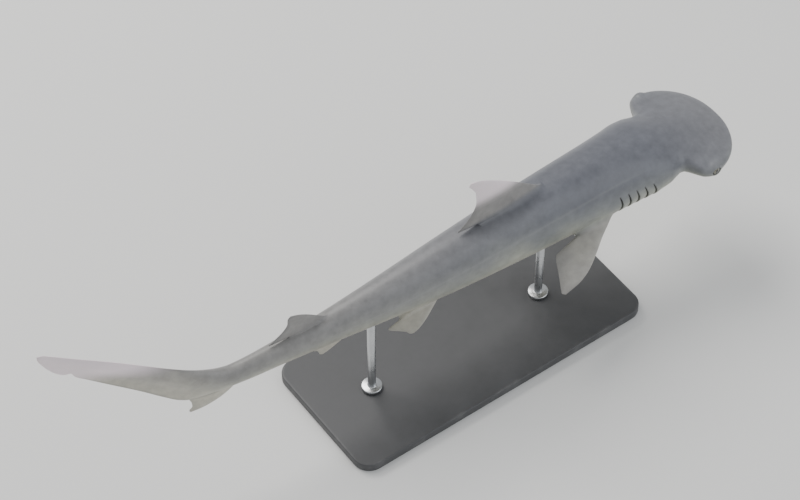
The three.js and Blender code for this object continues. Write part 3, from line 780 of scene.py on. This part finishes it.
def mix_colour(tree, factor, a, b, blend="MIX"):
    made = add_node(tree, "ShaderNodeMix", data_type="RGBA", blend_type=blend)
    for socket, value in ((made.inputs["Factor"], factor), (made.inputs[6], a), (made.inputs[7], b)):
        if isinstance(value, bpy.types.NodeSocket):
            tree.links.new(value, socket)
        else:
            socket.default_value = value
    return made.outputs[2]


def noise(tree, vector, scale, detail=3.0, roughness=0.5, stretch=None):
    if stretch:
        vector = add_node(tree, "ShaderNodeMapping", {"Vector": vector, "Scale": stretch}).outputs[0]
    made = add_node(
        tree, "ShaderNodeTexNoise",
        {"Vector": vector, "Scale": scale, "Detail": detail, "Roughness": roughness},
    )
    return made.outputs[0]


def ramp(tree, factor, stops):
    made = add_node(tree, "ShaderNodeValToRGB", {"Fac": factor})
    elements = made.color_ramp.elements
    for i, (position, colour) in enumerate(stops):
        element = elements[i] if i < 2 else elements.new(position)
        element.position, element.color = position, (*colour, 1)
    return made.outputs[0]


def skin_material():
    material, tree = new_material("shark_skin")
    lie = attribute(tree, "straight")["Vector"]
    back, fin, margin, dry, fold, ray, snout, line = (attribute(tree, name)["Fac"] for name in tone_names)
    along = add_node(tree, "ShaderNodeSeparateXYZ", {"Vector": lie}).outputs["X"]
    clouds = noise(tree, lie, 14, 3, 0.55)
    wobble = math_node(tree, "MULTIPLY", math_node(tree, "SUBTRACT", clouds, 0.5), 0.55)
    height = math_node(tree, "ADD", math_node(tree, "MULTIPLY", back, 0.5), 0.5)
    height = math_node(tree, "ADD", height, wobble, clamp=True)
    colour = ramp(tree, height, (
        (0.0, (0.47, 0.46, 0.4)), (0.26, (0.42, 0.42, 0.355)), (0.42, (0.27, 0.28, 0.255)),
        (0.58, (0.185, 0.195, 0.2)), (0.8, (0.135, 0.142, 0.162)), (1.0, (0.11, 0.115, 0.135)),
    ))
    rearward = map_range(tree, along, (0.28, 0.64), (0.0, 0.5))
    colour = mix_colour(tree, rearward, colour, (0.33, 0.315, 0.28, 1))
    forward = map_range(tree, along, (0.02, 0.13), (0.28, 0.0))
    colour = mix_colour(tree, forward, colour, (0.27, 0.265, 0.262, 1))
    blade = ramp(tree, height, (
        (0.0, (0.56, 0.53, 0.435)), (0.4, (0.435, 0.415, 0.36)), (0.7, (0.31, 0.297, 0.28)),
        (1.0, (0.2, 0.197, 0.2)),
    ))
    colour = mix_colour(tree, math_node(tree, "MULTIPLY", fin, 0.85), colour, blade)
    mottle = noise(tree, lie, 95, 4, 0.6)
    dapple = map_range(tree, mottle, (0.3, 0.7), (0.86, 1.12))
    colour = mix_colour(tree, 1.0, colour, dapple, "MULTIPLY")
    uneven = math_node(tree, "MULTIPLY", math_node(tree, "SUBTRACT", noise(tree, lie, 420, 3), 0.5), 0.22)
    cells = add_node(tree, "ShaderNodeTexVoronoi", {"Vector": lie, "Scale": 70.0, "Randomness": 1.0})
    spot = math_node(tree, "ADD", cells.outputs["Distance"], uneven)
    spot = map_range(tree, spot, (0.08, 0.24), (1.0, 0.0))
    sparse = map_range(tree, noise(tree, lie, 23, 1), (0.5, 0.6), (0.0, 0.2))
    flank = map_range(tree, height, (0.25, 0.45), (0.0, 1.0))
    spot = math_node(tree, "MULTIPLY", math_node(tree, "MULTIPLY", spot, sparse), flank)
    spot = math_node(tree, "MULTIPLY", spot, math_node(tree, "SUBTRACT", 1.0, fin))
    colour = mix_colour(tree, spot, colour, (0.07, 0.072, 0.08, 1))
    pits = add_node(tree, "ShaderNodeTexVoronoi", {"Vector": lie, "Scale": 290.0, "Randomness": 0.9})
    pits = map_range(tree, pits.outputs["Distance"], (0.1, 0.2), (1.0, 0.0))
    pores = math_node(tree, "MULTIPLY", math_node(tree, "MULTIPLY", pits, snout), 0.32)
    colour = mix_colour(tree, pores, colour, (0.06, 0.058, 0.056, 1))
    colour = mix_colour(tree, math_node(tree, "MULTIPLY", line, 0.22), colour, (0.3, 0.305, 0.3, 1))
    dusk = math_node(tree, "MULTIPLY", margin, 0.45)
    colour = mix_colour(tree, dusk, colour, (0.12, 0.118, 0.12, 1))
    # Painted sheen: the highest parts of the first dorsal and the tail fin are whitened pinkish, a painted
    # reflection of the sky, patchy by the clouds.
    patchy = math_node(tree, "ADD", 0.6, math_node(tree, "MULTIPLY", clouds, 0.7))
    sheen_strength = math_node(tree, "MULTIPLY", dry, patchy)
    colour = mix_colour(tree, sheen_strength, colour, (0.88, 0.775, 0.81, 1))
    # Painted shade: the fold tone darkens the gill slits, the mouth's groove, the nostrils and the eye rims
    # towards near black.
    colour = mix_colour(tree, math_node(tree, "MULTIPLY", fold, 0.8), colour, (0.035, 0.03, 0.03, 1))

    denticles = noise(tree, lie, 1500, 2, 0.5, (0.45, 1, 1))
    creases = noise(tree, lie, 210, 3, 0.6, (1, 0.5, 0.5))
    rays = math_node(tree, "SINE", math_node(tree, "MULTIPLY", ray, 210.0))
    rays = math_node(tree, "MULTIPLY", math_node(tree, "MULTIPLY", rays, fin), 0.12)
    relief = math_node(tree, "MULTIPLY", denticles, 0.35)
    relief = math_node(tree, "ADD", relief, math_node(tree, "MULTIPLY", creases, 0.9))
    relief = math_node(tree, "ADD", relief, rays)
    relief = math_node(tree, "SUBTRACT", relief, math_node(tree, "MULTIPLY", pores, 1.2))
    relief = math_node(tree, "ADD", relief, math_node(tree, "MULTIPLY", line, 0.6))
    bump = add_node(tree, "ShaderNodeBump", {"Height": relief, "Strength": 0.32, "Distance": 0.0006})
    gloss = map_range(tree, mottle, (0.3, 0.7), (0.36, 0.5))
    finish_material(
        tree, Base_Color=colour, Roughness=gloss, Normal=bump.outputs[0], Coat_Weight=0.12,
        Coat_Roughness=0.22, Specular_IOR_Level=0.45,
    )
    return material


skin = piece_from(hide, "skin", skin_material())
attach(skin, "root")
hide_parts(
    "head", "gill_region", "trunk", "tail", "first_dorsal_fin", "second_dorsal_fin", "anal_fin",
    "pectoral_fin_left", "pectoral_fin_right", "pelvic_fin_left", "pelvic_fin_right",
    "caudal_fin_upper_lobe", "caudal_fin_lower_lobe",
)


# Eyes
# Glass eyes as a model maker sets them: a ball with a pale iris round an upright oval pupil,
# under a clear, slightly raised front.

iris_radius = 0.0051
pupil = {"long": 0.0023, "high": 0.0032}


def eye_material():
    material, tree = new_material("glass_eye")
    fac = {name: attribute(tree, name)["Fac"] for name in ("iris", "pupil", "turn")}
    streaks = add_node(
        tree, "ShaderNodeTexNoise",
        {"W": math_node(tree, "MULTIPLY", fac["turn"], 9.0), "Scale": 3.0, "Detail": 3.0},
        noise_dimensions="1D",
    ).outputs[0]
    ring = ramp(tree, fac["iris"], (
        (0.0, (0.12, 0.1, 0.05)), (0.5, (0.2, 0.19, 0.13)), (0.86, (0.16, 0.155, 0.12)),
        (0.97, (0.07, 0.07, 0.06)), (1.0, (0.045, 0.045, 0.042)),
    ))
    tint = map_range(tree, streaks, (0.3, 0.7), (0.7, 1.25))
    colour = mix_colour(tree, 1.0, ring, tint, "MULTIPLY")
    hole = map_range(tree, fac["pupil"], (0.93, 1.07), (1.0, 0.0))
    colour = mix_colour(tree, hole, colour, (0.004, 0.004, 0.005, 1))
    finish_material(
        tree, Base_Color=colour, Roughness=0.12, Coat_Weight=1.0, Coat_Roughness=0.02,
        Specular_IOR_Level=0.6,
    )
    return material


eye_finish = eye_material()
for side, word in ((1, "left"), (-1, "right")):
    ball = bmesh.new()
    bmesh.ops.create_uvsphere(ball, u_segments=96, v_segments=64, radius=eye["radius"])
    layers = {name: ball.verts.layers.float.new(name) for name in ("iris", "pupil", "turn")}
    centre = eye_centre(side)
    for vert in ball.verts:
        outward, x, z = vert.co.z, vert.co.x, vert.co.y
        from_axis = math.hypot(x, z)
        front = outward > 0
        vert[layers["iris"]] = from_axis / iris_radius if front else 2
        vert[layers["pupil"]] = math.hypot(x / pupil["long"], z / pupil["high"]) if front else 9
        vert[layers["turn"]] = math.atan2(z, x)
        cornea = 0.0004 * smoothstep(from_axis, 0.0046, 0) if front else 0
        vert.co = posed(centre + Vector((x, side * (outward + cornea), z)))
    bmesh.ops.recalc_face_normals(ball, faces=ball.faces)
    piece = piece_from(ball, f"glass_eye_{word}", eye_finish)
    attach(piece, "root")
    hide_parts(f"eye_{word}")


# Stand plate
# A steel plate with round corners and broken edges, in dark satin paint that is a little
# rubbed along the edges. It lies flat on the table.

plate = {"length": 0.43, "width": 0.19, "thickness": 0.012, "corner": 0.022, "bevel": 0.0015}


def speckle_group():
    """Fine paint texture: a height for the bump and a mask for dust and small marks."""
    group = bpy.data.node_groups.new("fine_finish", "ShaderNodeTree")
    group.interface.new_socket("Vector", in_out="INPUT", socket_type="NodeSocketVector")
    group.interface.new_socket("Grain", in_out="INPUT", socket_type="NodeSocketFloat")
    group.interface.new_socket("Height", in_out="OUTPUT", socket_type="NodeSocketFloat")
    group.interface.new_socket("Marks", in_out="OUTPUT", socket_type="NodeSocketFloat")
    start = group.nodes.new("NodeGroupInput")
    end = group.nodes.new("NodeGroupOutput")
    grain = add_node(
        group, "ShaderNodeTexNoise", {"Vector": start.outputs["Vector"], "Scale": start.outputs["Grain"]},
    )
    marks = noise(group, start.outputs["Vector"], 38, 6, 0.65)
    group.links.new(grain.outputs[0], end.inputs["Height"])
    group.links.new(marks, end.inputs["Marks"])
    return group


fine_finish = speckle_group()


def add_finish(tree, vector, grain):
    made = tree.nodes.new("ShaderNodeGroup")
    made.node_tree = fine_finish
    tree.links.new(vector, made.inputs["Vector"])
    made.inputs["Grain"].default_value = grain
    return made.outputs


def plate_material():
    material, tree = new_material("satin_paint")
    place = add_node(tree, "ShaderNodeTexCoord").outputs["Object"]
    finish = add_finish(tree, place, 1800.0)
    rubbed = attribute(tree, "edge")["Fac"]
    rubbed = math_node(tree, "MULTIPLY", rubbed, map_range(tree, finish["Marks"], (0.5, 0.7), (0.0, 1.0)))
    tint = map_range(tree, finish["Marks"], (0.3, 0.7), (0.9, 1.12))
    colour = mix_colour(tree, 1.0, (0.062, 0.063, 0.066, 1), tint, "MULTIPLY")
    colour = mix_colour(tree, math_node(tree, "MULTIPLY", rubbed, 0.5), colour, (0.16, 0.16, 0.16, 1))
    gloss = map_range(tree, finish["Marks"], (0.3, 0.7), (0.4, 0.56))
    bump = add_node(
        tree, "ShaderNodeBump", {"Height": finish["Height"], "Strength": 0.35, "Distance": 0.0003},
    )
    finish_material(tree, Base_Color=colour, Roughness=gloss, Normal=bump.outputs[0])
    return material


slab = bmesh.new()
bmesh.ops.create_cube(slab, size=1)
bmesh.ops.scale(slab, vec=(plate["length"], plate["width"], plate["thickness"]), verts=slab.verts)
bmesh.ops.translate(slab, vec=(0, 0, plate["thickness"] / 2), verts=slab.verts)
upright = [edge for edge in slab.edges if abs(edge.verts[0].co.z - edge.verts[1].co.z) > 0.001]
bmesh.ops.bevel(
    slab, geom=upright, offset=plate["corner"], segments=16, affect="EDGES", profile=0.5, material=-1,
)
level = [face for face in slab.faces if abs(face.normal.z) > 0.9]
rims = list({edge for face in level for edge in face.edges})
bmesh.ops.bevel(
    slab, geom=rims, offset=plate["bevel"], segments=4, affect="EDGES", profile=0.5, material=-1,
)
edge_layer = slab.verts.layers.float.new("edge")
for vert in slab.verts:
    vert[edge_layer] = 1
flats = [face for face in slab.faces if face.calc_area() > 0.01]
for face in flats:
    bmesh.ops.inset_region(slab, faces=[face], thickness=0.002, depth=0)
    for vert in face.verts:
        vert[edge_layer] = 0
bmesh.ops.recalc_face_normals(slab, faces=slab.faces)
stand_plate = piece_from(slab, "stand_plate", plate_material())
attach(stand_plate, "root")
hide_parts("stand_base")


# Stand rods
# Two upright rods of turned steel carry the body from below. Each is screwed through a round
# foot flange into the plate, and its top is let into the belly.

rod = {"radius": 0.005, "foot_radius": 0.013, "foot_height": 0.005, "let_in": 0.0015}
rod_shares = {"front": 0.285, "rear": 0.552}
rod_gap = 0.0003


def rod_material():
    material, tree = new_material("turned_steel")
    place = add_node(tree, "ShaderNodeTexCoord").outputs["Object"]
    lines = noise(tree, place, 1, 3, 0.6, (60, 60, 5200))
    marks = add_finish(tree, place, 900.0)["Marks"]
    gloss = map_range(tree, marks, (0.3, 0.7), (0.2, 0.36))
    tint = map_range(tree, lines, (0.3, 0.7), (0.88, 1.05))
    colour = mix_colour(tree, 1.0, (0.56, 0.57, 0.58, 1), tint, "MULTIPLY")
    bump = add_node(tree, "ShaderNodeBump", {"Height": lines, "Strength": 0.2, "Distance": 0.0002})
    finish_material(tree, Base_Color=colour, Roughness=gloss, Metallic=1.0, Normal=bump.outputs[0])
    return material


rod_finish = rod_material()
for word, share in rod_shares.items():
    foot = posed(Vector((share * total_length, 0, -axis_height)))
    start = plate["thickness"] + rod_gap
    top = axis_height - belly_depth(share) * total_length + rod["let_in"]
    radius, flange, rise = rod["radius"], rod["foot_radius"], start + rod["foot_height"]
    outline = (
        (0, start), (flange - 0.0004, start), (flange, start + 0.0004), (flange, rise - 0.0012),
        (flange - 0.0003, rise - 0.0004), (flange - 0.0011, rise), (radius + 0.0012, rise),
        (radius + 0.0003, rise + 0.0003), (radius, rise + 0.0012), (radius, top - 0.0005),
        (radius - 0.0005, top), (0, top),
    )
    turned = bmesh.new()
    points = [turned.verts.new((x, 0, z)) for x, z in outline]
    profile_edges = [turned.edges.new(pair) for pair in zip(points, points[1:])]
    bmesh.ops.spin(
        turned, geom=points + profile_edges, cent=(0, 0, 0), axis=(0, 0, 1), dvec=(0, 0, 0),
        angle=2 * math.pi, steps=64, use_merge=True,
    )
    bmesh.ops.remove_doubles(turned, verts=turned.verts, dist=1e-6)
    bmesh.ops.recalc_face_normals(turned, faces=turned.faces)
    bmesh.ops.translate(turned, vec=(foot.x, foot.y, 0), verts=turned.verts)
    piece = piece_from(turned, f"turned_rod_{word}", rod_finish)
    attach(piece, "root")
    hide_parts(f"stand_rod_{word}")


# Floor and light
# A plain pale floor, a broad soft light from the upper left of the picture and a weaker one
# from the near side.

floor_size = 14
key_light = {"place": (-0.4, 2.1, 2.9), "size": 2.2, "power": 120, "colour": (1, 0.98, 0.95)}
fill_light = {"place": (1.6, -2.4, 1.8), "size": 2.6, "power": 34, "colour": (0.93, 0.96, 1)}
sky = ((0.92, 0.94, 0.96, 1), 0.65)

ground = bmesh.new()
bmesh.ops.create_grid(ground, x_segments=1, y_segments=1, size=floor_size / 2)
floor_paint, floor_tree = new_material("pale_floor")
finish_material(floor_tree, Base_Color=(0.74, 0.74, 0.73, 1), Roughness=0.75)
studio_floor = piece_from(ground, "studio_floor", floor_paint)

for name, light in (("key_light", key_light), ("fill_light", fill_light)):
    lamp = bpy.data.lights.new(name, "AREA")
    lamp.size = light["size"]
    lamp.energy = light["power"]
    lamp.color = light["colour"]
    source = bpy.data.objects.new(name, lamp)
    source.location = light["place"]
    source.rotation_euler = (aim - Vector(light["place"])).to_track_quat("-Z", "Y").to_euler()
    bpy.context.collection.objects.link(source)

world = bpy.data.worlds.new("studio")
world.use_nodes = True
background = world.node_tree.nodes["Background"]
background.inputs["Color"].default_value, background.inputs["Strength"].default_value = sky
bpy.context.scene.world = world
